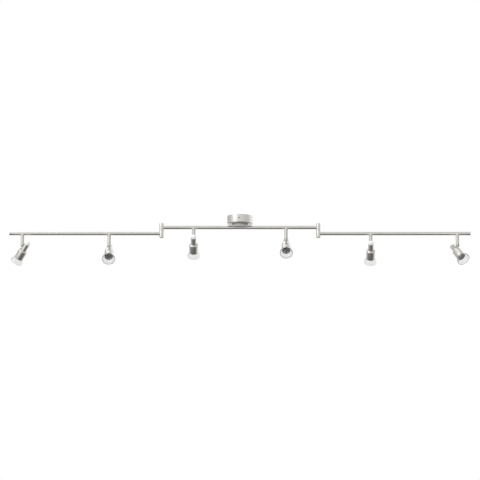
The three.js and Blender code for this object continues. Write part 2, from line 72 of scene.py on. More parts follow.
# Brightness of the room by direction: degrees round from the camera's side towards +X, and
# degrees above the horizon.
ROUND_LIGHT = [
    (-180, 0.85), (-126, 0.60), (-95, 0.72), (-71, 0.96), (-52, 1.45), (-31, 1.21), (-13, 0.92),
    (5, 0.85), (32, 0.78), (61, 0.68), (84, 0.73), (111, 1.02), (129, 1.17), (155, 1.0), (180, 0.85),
]
HEIGHT_LIGHT = [
    (-90, 0.18), (-66, 0.2), (-47, 0.3), (-26, 0.62), (-8, 0.93), (11, 1.0), (34, 1.0), (51, 0.92),
    (69, 0.88), (90, 0.98),
]
PANEL_SIZE = 3.4
PANEL_DISTANCE = 5
PANEL_ROUND = math.radians(-115)  # behind the bar and to its left
PANEL_HEIGHT = math.radians(60)
PANEL_POWER = 42
KEY_STRENGTH = 0.25
KEY_SPREAD = math.radians(30)
KEY_FROM_ABOVE = math.radians(62)  # counted from straight overhead
KEY_ROUND = math.radians(-50)  # from in front of the bar and to its left


def ramp(nodes, stops):
    """A colour ramp of grey stops, each a place from 0 to 1 and a brightness, halved to fit."""
    made = nodes.new("ShaderNodeValToRGB")
    made.color_ramp.interpolation = "EASE"
    elements = made.color_ramp.elements
    while len(elements) < len(stops):
        elements.new(0.5)
    for element, (place, grey) in zip(elements, stops):
        element.position = place
        element.color = (grey / 2, grey / 2, grey / 2, 1)
    return made


def room_light():
    world = bpy.data.worlds.new("room")
    bpy.context.scene.world = world
    world.use_nodes = True
    nodes, links = world.node_tree.nodes, world.node_tree.links
    nodes.clear()
    direction = nodes.new("ShaderNodeSeparateXYZ")
    links.new(nodes.new("ShaderNodeTexCoord").outputs["Generated"], direction.inputs[0])
    front = nodes.new("ShaderNodeMath")
    front.operation = "MULTIPLY"
    front.inputs[1].default_value = -1
    links.new(direction.outputs["Y"], front.inputs[0])
    way_round = nodes.new("ShaderNodeMath")
    way_round.operation = "ARCTAN2"
    links.new(direction.outputs["X"], way_round.inputs[0])
    links.new(front.outputs[0], way_round.inputs[1])
    share = nodes.new("ShaderNodeMath")
    share.operation = "MULTIPLY_ADD"
    share.inputs[1].default_value = 1 / (2 * math.pi)
    share.inputs[2].default_value = 0.5
    links.new(way_round.outputs[0], share.inputs[0])
    sides = ramp(nodes, [(a / 360 + 0.5, grey) for a, grey in ROUND_LIGHT])
    links.new(share.outputs[0], sides.inputs[0])
    height = nodes.new("ShaderNodeMath")
    height.operation = "MULTIPLY_ADD"
    height.inputs[1].default_value = 0.5
    height.inputs[2].default_value = 0.5
    links.new(direction.outputs["Z"], height.inputs[0])
    tall = ramp(nodes, [(math.sin(math.radians(a)) / 2 + 0.5, grey) for a, grey in HEIGHT_LIGHT])
    links.new(height.outputs[0], tall.inputs[0])
    both = nodes.new("ShaderNodeMix")
    both.data_type, both.blend_type = "RGBA", "MULTIPLY"
    both.inputs["Factor"].default_value = 1
    links.new(sides.outputs[0], both.inputs["A"])
    links.new(tall.outputs[0], both.inputs["B"])
    room = nodes.new("ShaderNodeBackground")
    room.inputs["Strength"].default_value = 4  # both ramps are halved
    links.new(both.outputs["Result"], room.inputs["Color"])
    backdrop = nodes.new("ShaderNodeBackground")
    backdrop.inputs["Color"].default_value = (1, 1, 1, 1)
    seen = nodes.new("ShaderNodeMixShader")
    links.new(nodes.new("ShaderNodeLightPath").outputs["Is Camera Ray"], seen.inputs["Fac"])
    links.new(room.outputs[0], seen.inputs[1])
    links.new(backdrop.outputs[0], seen.inputs[2])
    links.new(seen.outputs[0], nodes.new("ShaderNodeOutputWorld").inputs["Surface"])


room_light()

key = bpy.data.objects.new("key", bpy.data.lights.new("key", "SUN"))
bpy.context.scene.collection.objects.link(key)
key.data.energy = KEY_STRENGTH
key.data.angle = KEY_SPREAD
key.rotation_euler = (KEY_FROM_ABOVE, 0, KEY_ROUND)

panel = bpy.data.objects.new("light_panel", bpy.data.lights.new("light_panel", "AREA"))
bpy.context.scene.collection.objects.link(panel)
panel.data.size = PANEL_SIZE
panel.data.energy = PANEL_POWER
toward_panel = Vector((
    math.cos(PANEL_HEIGHT) * math.sin(PANEL_ROUND),
    -math.cos(PANEL_HEIGHT) * math.cos(PANEL_ROUND),
    math.sin(PANEL_HEIGHT),
))
panel.location = toward_panel * PANEL_DISTANCE
panel.rotation_euler = toward_panel.to_track_quat("Z", "Y").to_euler()

floor_mesh = bpy.data.meshes.new("floor")
floor_shape = bmesh.new()
bmesh.ops.create_grid(floor_shape, x_segments=1, y_segments=1, size=FLOOR_SIZE / 2)
bmesh.ops.translate(floor_shape, verts=floor_shape.verts, vec=(0, 0, FLOOR_Z))
floor_shape.to_mesh(floor_mesh)
floor_shape.free()
floor = bpy.data.objects.new("floor", floor_mesh)
bpy.context.scene.collection.objects.link(floor)
floor_paint = bpy.data.materials.new("pale_floor")
floor_paint.use_nodes = True
floor_surface = floor_paint.node_tree.nodes["Principled BSDF"]
floor_surface.inputs["Base Color"].default_value = (0.85, 0.85, 0.85, 1)
floor_surface.inputs["Roughness"].default_value = 0.9
floor_mesh.materials.append(floor_paint)
floor.visible_glossy = False
floor.visible_diffuse = False
floor.visible_transmission = False


# ---- Canopy ----
# A drum deep drawn from 1.2 mm steel with a rolled lower edge, brushed and plated in satin
# nickel. It hides the bracket and the supply, and two side screws hold it.
MM = 0.001
CANOPY_RADIUS = 50
CANOPY_HEIGHT = 31
CANOPY_EDGE = 1.5
SHEET = 1.2
HOLE_GAP = 0.3  # round whatever passes through a hole
SEAT_GAP = 0.05  # between faces that rest on each other
FIT_GAP = 0.1  # round a close fit
SLOT_HALF = 0.35  # half the width of a screwdriver's slot
NIPPLE_HOLE = 4.3
ROUND_STEPS = 96
BEYOND = 60  # further out than any cut has to go


def turned(profile, steps=64):
    """A profile of (radius, height, corner radius) points turned full circle about Z."""
    bm = bmesh.new()
    verts = [bm.verts.new((radius, 0, height)) for radius, height, _ in profile]
    closed = profile[0][:2] == profile[-1][:2]
    if closed:
        bm.verts.remove(verts.pop())
    for pair in zip(verts, verts[1:] + verts[:1] if closed else verts[1:]):
        bm.edges.new(pair)
    for vert, (_, _, corner) in zip(verts, profile):
        if corner:
            bmesh.ops.bevel(
                bm, geom=[vert], offset=corner, offset_type="OFFSET", affect="VERTICES",
                segments=5, profile=0.5, material=-1,
            )
    bmesh.ops.spin(
        bm, geom=bm.verts[:] + bm.edges[:], axis=(0, 0, 1), cent=(0, 0, 0), angle=2 * math.pi,
        steps=steps, use_merge=True,
    )
    bmesh.ops.remove_doubles(bm, verts=bm.verts, dist=1e-4)
    bmesh.ops.recalc_face_normals(bm, faces=bm.faces)
    return bm


def rod(radius, start, end, axis="Z", sides=48):
    """A plain round rod along an axis, from one place on it to another."""
    bm = bmesh.new()
    bmesh.ops.create_cone(
        bm, cap_ends=True, segments=sides, radius1=radius, radius2=radius, depth=end - start
    )
    bmesh.ops.translate(bm, verts=bm.verts, vec=(0, 0, (start + end) / 2))
    turn = {"Z": Matrix(), "X": Matrix.Rotation(math.pi / 2, 3, "Y"),
            "Y": Matrix.Rotation(-math.pi / 2, 3, "X")}[axis]
    bmesh.ops.transform(bm, verts=bm.verts, matrix=turn.to_4x4())
    return bm


def block(low, high, edge=0):
    """A box between two corners, with rounded edges."""
    bm = bmesh.new()
    bmesh.ops.create_cube(bm, size=1)
    low, high = Vector(low), Vector(high)
    bmesh.ops.scale(bm, verts=bm.verts, vec=high - low)
    bmesh.ops.translate(bm, verts=bm.verts, vec=(low + high) / 2)
    if edge:
        bmesh.ops.bevel(
            bm, geom=bm.edges[:], offset=edge, affect="EDGES", segments=3, profile=0.5, material=-1
        )
    return bm


def worked(solid, operation, *tools):
    """Joins tools to a solid with UNION, or cuts them from it with DIFFERENCE."""
    holders = []
    for bm in (solid, *tools):
        mesh = bpy.data.meshes.new("work")
        bm.to_mesh(mesh)
        bm.free()
        holders.append(bpy.data.objects.new("work", mesh))
        bpy.context.scene.collection.objects.link(holders[-1])
    for holder in holders[1:]:
        step = holders[0].modifiers.new("work", "BOOLEAN")
        step.operation = operation
        step.solver = "EXACT"
        step.object = holder
    made = bmesh.new()
    made.from_object(holders[0], bpy.context.evaluated_depsgraph_get())
    for holder in holders:
        bpy.data.meshes.remove(holder.data)
    return made


def placed(name, bm, finish, place=Matrix(), smooth=35):
    """The finished object: its grain kept from where it was turned, its mesh put in its place."""
    mesh = bpy.data.meshes.new(name)
    bm.to_mesh(mesh)
    grain = mesh.attributes.new("grain", "FLOAT_VECTOR", "POINT")
    grain.data.foreach_set("vector", [c for vert in mesh.vertices for c in vert.co])
    mesh.transform(place @ Matrix.Scale(MM, 4))
    mesh.polygons.foreach_set("use_smooth", [True] * len(mesh.polygons))
    mesh.set_sharp_from_angle(angle=math.radians(smooth))
    mesh.materials.append(finish)
    made = bpy.data.objects.new(name, mesh)
    bpy.context.scene.collection.objects.link(made)
    return made


def shader(name):
    """A new material's nodes, links and main shader."""
    made = bpy.data.materials.new(name)
    made.use_nodes = True
    nodes = made.node_tree.nodes
    return made, nodes, made.node_tree.links, nodes["Principled BSDF"]


def own_grain(nodes):
    """A piece's own coordinates, in millimetres, as it was turned."""
    own = nodes.new("ShaderNodeAttribute")
    own.attribute_name = "grain"
    return own.outputs["Vector"]


def two_tone(nodes, links, value, dark, light, surface):
    """The base colour, between two colours by a value."""
    tone = nodes.new("ShaderNodeMix")
    tone.data_type = "RGBA"
    tone.inputs["A"].default_value = (*dark, 1)
    tone.inputs["B"].default_value = (*light, 1)
    links.new(value, tone.inputs["Factor"])
    links.new(tone.outputs["Result"], surface.inputs["Base Color"])


def bumped(nodes, links, height, strength, depth, surface):
    """Relief from a height, its depth in millimetres."""
    bump = nodes.new("ShaderNodeBump")
    bump.inputs["Strength"].default_value = strength
    bump.inputs["Distance"].default_value = depth * MM
    links.new(height, bump.inputs["Height"])
    links.new(bump.outputs["Normal"], surface.inputs["Normal"])


def grain_lines(nodes, links, across, along):
    """Fine lines that run round a turned piece: grain coordinates squeezed along the way."""
    own = own_grain(nodes)
    flat = nodes.new("ShaderNodeVectorMath")
    flat.operation = "MULTIPLY"
    flat.inputs[1].default_value = (1, 1, 0)
    links.new(own, flat.inputs[0])
    radius = nodes.new("ShaderNodeVectorMath")
    radius.operation = "LENGTH"
    links.new(flat.outputs["Vector"], radius.inputs[0])
    parts = nodes.new("ShaderNodeSeparateXYZ")
    links.new(own, parts.inputs[0])
    height = nodes.new("ShaderNodeMath")
    height.operation = "MULTIPLY_ADD"
    height.inputs[1].default_value = 1.6
    links.new(radius.outputs["Value"], height.inputs[0])
    links.new(parts.outputs["Z"], height.inputs[2])
    joined = nodes.new("ShaderNodeCombineXYZ")
    links.new(parts.outputs["X"], joined.inputs["X"])
    links.new(parts.outputs["Y"], joined.inputs["Y"])
    links.new(height.outputs[0], joined.inputs["Z"])
    squeeze = nodes.new("ShaderNodeMapping")
    squeeze.inputs["Scale"].default_value = (along, along, across)
    links.new(joined.outputs[0], squeeze.inputs["Vector"])
    return squeeze.outputs["Vector"]


def noise(nodes, links, vector, scale, detail=4.0):
    made = nodes.new("ShaderNodeTexNoise")
    made.inputs["Scale"].default_value = scale
    made.inputs["Detail"].default_value = detail
    links.new(vector, made.inputs["Vector"])
    return made.outputs["Fac"]


def spread(nodes, links, value, low, high):
    """A noise value spread between two levels."""
    made = nodes.new("ShaderNodeMapRange")
    made.inputs["From Min"].default_value = 0.3
    made.inputs["From Max"].default_value = 0.7
    made.inputs["To Min"].default_value = low
    made.inputs["To Max"].default_value = high
    links.new(value, made.inputs["Value"])
    return made.outputs["Result"]


def brushed_metal(name, dark, light, smoothest, roughest, lines, depth):
    """Plated or bare metal with brushing that runs round the piece, and faint handling marks."""
    made, nodes, links, surface = shader(name)
    surface.inputs["Metallic"].default_value = 1
    fine = noise(nodes, links, grain_lines(nodes, links, lines, 0.02), 1.0)
    smudge = noise(nodes, links, own_grain(nodes), 0.06, 3.0)
    two_tone(nodes, links, spread(nodes, links, fine, 0, 1), dark, light, surface)
    both = nodes.new("ShaderNodeMath")
    both.operation = "MULTIPLY_ADD"
    both.inputs[1].default_value = 0.35
    links.new(smudge, both.inputs[0])
    half = nodes.new("ShaderNodeMath")
    half.operation = "MULTIPLY"
    half.inputs[1].default_value = 0.65
    links.new(fine, half.inputs[0])
    links.new(half.outputs[0], both.inputs[2])
    links.new(spread(nodes, links, both.outputs[0], smoothest, roughest), surface.inputs["Roughness"])
    bumped(nodes, links, fine, 0.25, depth, surface)
    return made


satin_nickel = brushed_metal(
    "satin_nickel", dark=(0.68, 0.665, 0.63), light=(0.76, 0.745, 0.71),
    smoothest=0.14, roughest=0.24, lines=6.0, depth=0.01,
)

floor_z = -CANOPY_HEIGHT
shell = turned(
    [
        (NIPPLE_HOLE, floor_z, 0),
        (CANOPY_RADIUS, floor_z, CANOPY_EDGE),
        (CANOPY_RADIUS, 0, 0.3),
        (CANOPY_RADIUS - SHEET, 0, 0.3),
        (CANOPY_RADIUS - SHEET, floor_z + SHEET, CANOPY_EDGE / 2),
        (NIPPLE_HOLE, floor_z + SHEET, 0),
        (NIPPLE_HOLE, floor_z, 0),
    ],
    ROUND_STEPS,
)

# The screws are level with each other and a little round from the front.
screw_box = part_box("canopy_screw_front")
screw_place = (screw_box[0] + screw_box[1]) / 2 / MM
screw_turn = math.atan2(screw_place.x, -screw_place.y)
screws_turned = Matrix.Rotation(screw_turn, 4, "Z")
SCREW_RADIUS = 1.5
screw_hole = rod(SCREW_RADIUS + HOLE_GAP, -BEYOND, BEYOND, "Y", 24)
bmesh.ops.translate(screw_hole, verts=screw_hole.verts, vec=(0, 0, screw_place.z))
bmesh.ops.transform(screw_hole, verts=screw_hole.verts, matrix=screws_turned)
canopy_drum = placed("canopy_drum", worked(shell, "DIFFERENCE", screw_hole), satin_nickel)
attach(canopy_drum, "bar")
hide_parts("canopy")


# ---- Canopy screws ----
# Two M3 pan head screws of darkened steel with a cross recess, one through the front of the
# drum and one through the rear, into the bracket's tabs.
SCREW_HEAD_RADIUS = 2.8
SCREW_HEAD = 1.6
SCREW_LENGTH = 8
SCREW_SEAT = CANOPY_RADIUS + 0.02
CROSS_REACH = 1.5
CROSS_DEPTH = 0.9

screw_steel = brushed_metal(
    "darkened_screw_steel", dark=(0.22, 0.215, 0.21), light=(0.34, 0.33, 0.32),
    smoothest=0.3, roughest=0.45, lines=3.0, depth=0.02,
)


def cross_headed_screw():
    """Shank upwards along Z, head below it from 0 down."""
    body = turned(
        [
            (0, SCREW_LENGTH, 0),
            (SCREW_RADIUS, SCREW_LENGTH, 0.3),
            (SCREW_RADIUS, 0, 0),
            (SCREW_HEAD_RADIUS, 0, 0.1),
            (SCREW_HEAD_RADIUS, -SCREW_HEAD, 0.7),
            (0, -SCREW_HEAD, 0),
        ],
        32,
    )
    cross_floor = CROSS_DEPTH - SCREW_HEAD
    arms = [
        block((-SLOT_HALF, -CROSS_REACH, -SCREW_HEAD - 1), (SLOT_HALF, CROSS_REACH, cross_floor)),
        block((-CROSS_REACH, -SLOT_HALF, -SCREW_HEAD - 1), (CROSS_REACH, SLOT_HALF, cross_floor)),
    ]
    return worked(body, "DIFFERENCE", *arms)


for side, turn in (("front", 0), ("rear", math.pi)):
    into_wall = Matrix.Rotation(screw_turn + turn, 4, "Z")
    seat = Matrix.Translation((0, -SCREW_SEAT * MM, screw_place.z * MM))
    lie = Matrix.Rotation(-math.pi / 2, 4, "X")
    canopy_screw = placed(
        f"{side}_canopy_bolt", cross_headed_screw(), screw_steel, into_wall @ seat @ lie
    )
    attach(canopy_screw, "bar")
    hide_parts(f"canopy_screw_{side}")


# ---- Ceiling bracket ----
# A strap of zinc plated steel, slotted for two ceiling screws, with its ends bent down into
# tapped tabs for the canopy's screws.
BRACKET_HALF_WIDTH = 8
BRACKET_TAB = 21
BRACKET_SLOT = Vector((5.5, 16))
BRACKET_SLOT_FROM_CENTRE = 31
BRACKET_BEND = 1.0
BRACKET_TURN = 0.3  # what its own turn adds to the reach of its box

zinc_steel = brushed_metal(
    "zinc_steel", dark=(0.52, 0.53, 0.55), light=(0.64, 0.65, 0.66),
    smoothest=0.3, roughest=0.5, lines=0.7, depth=0.02,
)


def bracket_profile(reach):
    """The strap's edge line: flat along Y, down at both ends, drawn once and then made wide."""
    outer = [(-reach, -BRACKET_TAB), (-reach, 0), (reach, 0), (reach, -BRACKET_TAB)]
    inner = [
        (reach - SHEET, -BRACKET_TAB), (reach - SHEET, -SHEET),
        (SHEET - reach, -SHEET), (SHEET - reach, -BRACKET_TAB),
    ]
    bm = bmesh.new()
    bm.faces.new([bm.verts.new((-BRACKET_HALF_WIDTH, y, z)) for y, z in outer + inner])
    bends = [bm.verts[:][i] for i in (1, 2, 5, 6)]
    bmesh.ops.bevel(
        bm, geom=bends, offset=BRACKET_BEND, affect="VERTICES", segments=4, profile=0.5, material=-1
    )
    faces = bm.faces[:]
    wide = bmesh.ops.extrude_face_region(bm, geom=faces)["geom"]
    moved = [v for v in wide if isinstance(v, bmesh.types.BMVert)]
    bmesh.ops.translate(bm, verts=moved, vec=(2 * BRACKET_HALF_WIDTH, 0, 0))
    bmesh.ops.recalc_face_normals(bm, faces=bm.faces)
    return bm


def slot_tool(centre):
    half = BRACKET_SLOT / 2
    bm = block((-half.x, centre - half.y, -5), (half.x, centre + half.y, 5))
    upright = [e for e in bm.edges if abs(e.verts[0].co.z - e.verts[1].co.z) > 1]
    bmesh.ops.bevel(
        bm, geom=upright, offset=half.x * 0.99, affect="EDGES", segments=6, profile=0.5, material=-1
    )
    return bm


bracket_cuts = [slot_tool(side * BRACKET_SLOT_FROM_CENTRE) for side in (-1, 1)]
bracket_holes = rod(SCREW_RADIUS + SEAT_GAP, -BEYOND, BEYOND, "Y", 24)
bmesh.ops.translate(bracket_holes, verts=bracket_holes.verts, vec=(0, 0, screw_place.z))
bracket_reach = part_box("ceiling_bracket")[1].y / MM - BRACKET_TURN
bracket_shape = worked(bracket_profile(bracket_reach), "DIFFERENCE", *bracket_cuts, bracket_holes)
bracket_strap = placed("bracket_strap", bracket_shape, zinc_steel, screws_turned)
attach(bracket_strap, "bar")
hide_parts("ceiling_bracket")


# ---- Supply terminal block ----
# A white nylon block under the bracket with three barrels, each with two wire holes and two
# brass clamp screws reached from below.
BLOCK_SIZE = Vector((30, 14, 12))
BLOCK_TOP = -1.5
BLOCK_POLES = 3
WIRE_HOLE_RADIUS = 1.6
TOWER_HALF = 2.6
WELL_RADIUS = 1.9
CLAMP_RADIUS = 1.75
CLAMP_PLACES = (-3.2, 3.2)  # across the block


def moulded(name, colour, speck, roughness):
    """Moulded plastic or fired ceramic: a faint mottle in its colour and a soft orange peel."""
    made, nodes, links, surface = shader(name)
    own = own_grain(nodes)
    mottle = noise(nodes, links, own, 0.35, 5.0)
    two_tone(nodes, links, spread(nodes, links, mottle, 0, 1), speck, colour, surface)
    rough = spread(nodes, links, mottle, roughness - 0.06, roughness + 0.06)
    links.new(rough, surface.inputs["Roughness"])
    bumped(nodes, links, noise(nodes, links, own, 3.0), 0.2, 0.03, surface)
    return made


white_nylon = moulded("white_nylon", (0.86, 0.85, 0.81), (0.8, 0.79, 0.74), 0.5)
brass = brushed_metal(
    "turned_brass", dark=(0.62, 0.47, 0.22), light=(0.76, 0.6, 0.31),
    smoothest=0.22, roughest=0.36, lines=4.0, depth=0.02,
)

pitch = BLOCK_SIZE.x / BLOCK_POLES
pole_places = [pitch * (i - (BLOCK_POLES - 1) / 2) for i in range(BLOCK_POLES)]
block_low = BLOCK_TOP - BLOCK_SIZE.z
block_mid = BLOCK_TOP - BLOCK_SIZE.z / 2
half_depth = BLOCK_SIZE.y / 2
barrels = []
for x in pole_places:
    barrel = rod(pitch / 2 - 0.4, -half_depth, half_depth, "Y", 32)
    bmesh.ops.translate(barrel, verts=barrel.verts, vec=(x, 0, block_mid))
    barrels.append(barrel)
web = block(
    (-BLOCK_SIZE.x / 2 + 1, -half_depth + 2, block_mid - 2.5),
    (BLOCK_SIZE.x / 2 - 1, half_depth - 2, BLOCK_TOP),
    0.4,
)
towers = [
    block((x - TOWER_HALF, y - TOWER_HALF, block_low), (x + TOWER_HALF, y + TOWER_HALF, block_mid), 0.3)
    for x in pole_places
    for y in CLAMP_PLACES
]
wire_holes = []
for x in pole_places:
    hole = rod(WIRE_HOLE_RADIUS, -BEYOND, BEYOND, "Y", 20)
    bmesh.ops.translate(hole, verts=hole.verts, vec=(x, 0, block_mid))
    wire_holes.append(hole)
    for y in CLAMP_PLACES:
        well = rod(WELL_RADIUS, block_low - 1, block_mid, "Z", 20)
        bmesh.ops.translate(well, verts=well.verts, vec=(x, y, 0))
        wire_holes.append(well)
block_shape = worked(worked(web, "UNION", *barrels, *towers), "DIFFERENCE", *wire_holes)
supply_block = placed("supply_block", block_shape, white_nylon, screws_turned)
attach(supply_block, "bar")
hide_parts("terminal_block")

for number, (x, y) in enumerate([(x, y) for x in pole_places for y in CLAMP_PLACES], 1):
    clamp = worked(
        rod(CLAMP_RADIUS, block_low + 1.6, block_mid - 0.2, "Z", 24),
        "DIFFERENCE",
        block((-2, -0.3, block_low), (2, 0.3, block_low + 2.6)),
    )
    bmesh.ops.translate(clamp, verts=clamp.verts, vec=(x, y, 0))
    clamp_screw = placed(f"supply_clamp_{number}", clamp, brass, screws_turned)
    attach(clamp_screw, "bar")


# ---- Hub and nipple ----
# A turned steel disc in matte nickel paint, on a short neck under the canopy and grooved to sit
# over the centre tube. A hollow brass nipple with a hexagon nut clamps all three together.
HUB_NECK_RADIUS = 22
HUB_NECK_HEIGHT = 1
HUB_RADIUS = 31.25
HUB_HEIGHT = 12
HUB_EDGE = 1.0
TUBE_RADIUS = 6.75
NIPPLE_RADIUS = 4
NIPPLE_BORE = 2.8
THREAD_DEPTH = 0.3
NUT_RADIUS = 8
NUT_HEIGHT = 5
centre_z = joints["spot_3_pan"]["pos_m"][2] / MM
arm_z = joints["spot_1_pan"]["pos_m"][2] / MM
hub_top = floor_z - SEAT_GAP
disc_top = floor_z - HUB_NECK_HEIGHT
hub_low = disc_top - HUB_HEIGHT

matte_nickel = brushed_metal(
    "matte_nickel", dark=(0.65, 0.64, 0.62), light=(0.73, 0.72, 0.7),
    smoothest=0.58, roughest=0.72, lines=2.0, depth=0.02,
)
# Between the paint's metal flakes its clear binder scatters light.
matte_nickel.node_tree.nodes["Principled BSDF"].inputs["Metallic"].default_value = 0.55
hub_shape = turned(
    [
        (NIPPLE_HOLE, hub_low, 0),
        (HUB_RADIUS, hub_low, HUB_EDGE),
        (HUB_RADIUS, disc_top, 0.4),
        (HUB_NECK_RADIUS, disc_top, 0.3),
        (HUB_NECK_RADIUS, hub_top, 0),
        (NIPPLE_HOLE, hub_top, 0),
        (NIPPLE_HOLE, hub_low, 0),
    ],
    ROUND_STEPS,
)
groove = rod(TUBE_RADIUS + 0.15, -BEYOND, BEYOND, "X", 64)
bmesh.ops.translate(groove, verts=groove.verts, vec=(0, 0, centre_z))
hub_disc = placed("hub_disc", worked(hub_shape, "DIFFERENCE", groove), matte_nickel)
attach(hub_disc, "bar")
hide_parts("hub")

nipple_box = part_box("hub_nipple")
nipple_low, nipple_high = nipple_box[0].z / MM, nipple_box[1].z / MM
nut_low = floor_z + SHEET + SEAT_GAP
nut = bmesh.new()
bmesh.ops.create_cone(
    nut, cap_ends=True, segments=6, radius1=NUT_RADIUS, radius2=NUT_RADIUS, depth=NUT_HEIGHT
)
bmesh.ops.bevel(
    nut, geom=nut.edges[:], offset=0.5, affect="EDGES", segments=3, profile=0.5, material=-1
)
bmesh.ops.translate(nut, verts=nut.verts, vec=(0, 0, nut_low + NUT_HEIGHT / 2))
threads = [rod(NIPPLE_RADIUS, nipple_low, nipple_high, "Z", 40)]
for turn in range(int(nipple_high - nut_low - NUT_HEIGHT)):
    z = nut_low + NUT_HEIGHT + 0.5 + turn
    threads.append(
        turned([(0, z - 0.1, 0), (NIPPLE_RADIUS, z - 0.1, 0), (NIPPLE_RADIUS + THREAD_DEPTH, z + 0.2, 0),
                (NIPPLE_RADIUS, z + 0.5, 0), (0, z + 0.5, 0)], 40)
    )
nipple_bore = rod(NIPPLE_BORE, nipple_low - 1, nipple_high + 1, "Z", 40)
nipple_shape = worked(worked(nut, "UNION", *threads), "DIFFERENCE", nipple_bore)
nipple = placed("nipple_and_nut", nipple_shape, brass)
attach(nipple, "bar")
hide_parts("hub_nipple")


# ---- Tubes ----
# Drawn steel tube, 13.5 mm across, brushed lengthwise and plated. A saddle of the same tube is
# brazed under it wherever a spot hangs, and drilled for the spot's spigot.
TUBE_WALL = 1
SADDLE_LIP = 2.25
SADDLE_EDGE = 0.5
SPIGOT_RADIUS = 3
TUBE_STOP = 4  # the tube's end from the knuckle's axis
along_x = Matrix.Rotation(math.pi / 2, 4, "Y")

tube_nickel = brushed_metal(
    "drawn_tube_nickel", dark=(0.68, 0.665, 0.63), light=(0.76, 0.745, 0.71),
    smoothest=0.14, roughest=0.24, lines=0.04, depth=0.004,
)


def tube(start, end, spots):
    """A tube along X with its saddles, bored through, from one place on the axis to another."""
    saddles, bores = [], []
    for x in spots:
        saddle = turned(
            [(0, 0, 0), (TUBE_RADIUS, 0, 0), (TUBE_RADIUS, -TUBE_RADIUS - SADDLE_LIP, SADDLE_EDGE),
             (0, -TUBE_RADIUS - SADDLE_LIP, 0)],
            64,
        )
        bore = rod(SPIGOT_RADIUS + HOLE_GAP, -12, 0, "Z", 32)
        for bm, kept in ((saddle, saddles), (bore, bores)):
            bmesh.ops.translate(bm, verts=bm.verts, vec=(x, 0, 0))
            kept.append(bm)
    outside = worked(rod(TUBE_RADIUS, start, end, "X", 64), "UNION", *saddles)
    inside = rod(TUBE_RADIUS - TUBE_WALL, start - 1, end + 1, "X", 48)
    return worked(outside, "DIFFERENCE", inside, *bores)


knuckle_x = joints["right_arm_swivel"]["pos_m"][0] / MM
spot_x = [joints[f"spot_{n}_pan"]["pos_m"][0] / MM for n in range(1, 7)]
centre_shape = tube(TUBE_STOP - knuckle_x, knuckle_x - TUBE_STOP, [spot_x[2], spot_x[3]])
lead_hole = rod(NIPPLE_RADIUS + HOLE_GAP, 0, 20, "Z", 32)
centre_bar = placed(
    "centre_bar",
    worked(centre_shape, "DIFFERENCE", lead_hole),
    tube_nickel,
    Matrix.Translation((0, 0, centre_z * MM)),
)
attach(centre_bar, "bar")
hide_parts("centre_tube")


# ---- Arms and end caps ----
# Two lower tubes that carry two spots each. A turned cap is pressed into each outer end.
CAP_DISC = 1.6
CAP_PLUG = 8
CAP_EDGE = 0.6
arm_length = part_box("right_end_cap")[1].x / MM - knuckle_x


def end_cap():
    """Turned about Z, its outer face at the arm's full length."""
    plug = TUBE_RADIUS - TUBE_WALL - FIT_GAP
    face = arm_length - CAP_DISC
    return turned(
        [
            (0, face - CAP_PLUG, 0),
            (plug, face - CAP_PLUG, 0.5),
            (plug, face, 0),
            (TUBE_RADIUS, face, 0.1),
            (TUBE_RADIUS, arm_length, CAP_EDGE),
            (0, arm_length, 0),
        ]
    )


ARM_SIDES = (("left", -1, math.pi, (spot_x[1], spot_x[0])), ("right", 1, 0, (spot_x[4], spot_x[5])))
for side, sign, turn, spots in ARM_SIDES:
    arm_start = Matrix.Translation((sign * knuckle_x * MM, 0, arm_z * MM))
    outward = arm_start @ Matrix.Rotation(turn, 4, "Z")
    arm_shape = tube(TUBE_STOP, arm_length - CAP_DISC - SEAT_GAP, [abs(x) - knuckle_x for x in spots])
    arm_bar = placed(f"{side}_arm_bar", arm_shape, tube_nickel, outward)
    cap = placed(f"{side}_arm_cap", end_cap(), satin_nickel, outward @ along_x)
    for piece, node in ((arm_bar, f"{side}_arm_tube"), (cap, f"{side}_end_cap")):
        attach(piece, f"{side}_arm")
        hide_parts(node)


# ---- Knuckles and swivel bolts ----
# Each knuckle is two turned steel halves that take the tubes' ends. A hollow bolt joins them,
# its hexagon socket in the lower half's recess, and the arm swivels round it.
KNUCKLE_RADIUS = 8.75
KNUCKLE_HALF = 28.2
KNUCKLE_EDGE = 0.8
SPLIT_GAP = 0.15
BOLT_RADIUS = 3
BOLT_HEAD_RADIUS = 5.5
BOLT_HEAD = 3
BOLT_RECESS = 1
BOLT_BORE = 1.5
KEY_SOCKET_RADIUS = 2.9
KEY_SOCKET_DEPTH = 1.8
split_z = (centre_z + arm_z) / 2
tube_from_split = centre_z - split_z
bolt_head_low = BOLT_RECESS - KNUCKLE_HALF
bolt_head_top = bolt_head_low + BOLT_HEAD
bolt_top = tube_from_split + TUBE_RADIUS


def tube_socket(sign):
    socket = rod(TUBE_RADIUS + FIT_GAP, TUBE_STOP / 2, BEYOND, "X", 64)
    if sign < 0:
        bmesh.ops.rotate(socket, verts=socket.verts, matrix=Matrix.Rotation(math.pi, 3, "Z"))
    bmesh.ops.translate(socket, verts=socket.verts, vec=(0, 0, -sign * tube_from_split))
    return socket


def upper_half():
    body = turned(
        [(0, SPLIT_GAP / 2, 0), (KNUCKLE_RADIUS, SPLIT_GAP / 2, 0.3),
         (KNUCKLE_RADIUS, KNUCKLE_HALF, KNUCKLE_EDGE), (0, KNUCKLE_HALF, 0)]
    )
    bore = rod(BOLT_RADIUS + HOLE_GAP, -1, bolt_top + HOLE_GAP, "Z", 32)
    return worked(body, "DIFFERENCE", tube_socket(-1), bore)


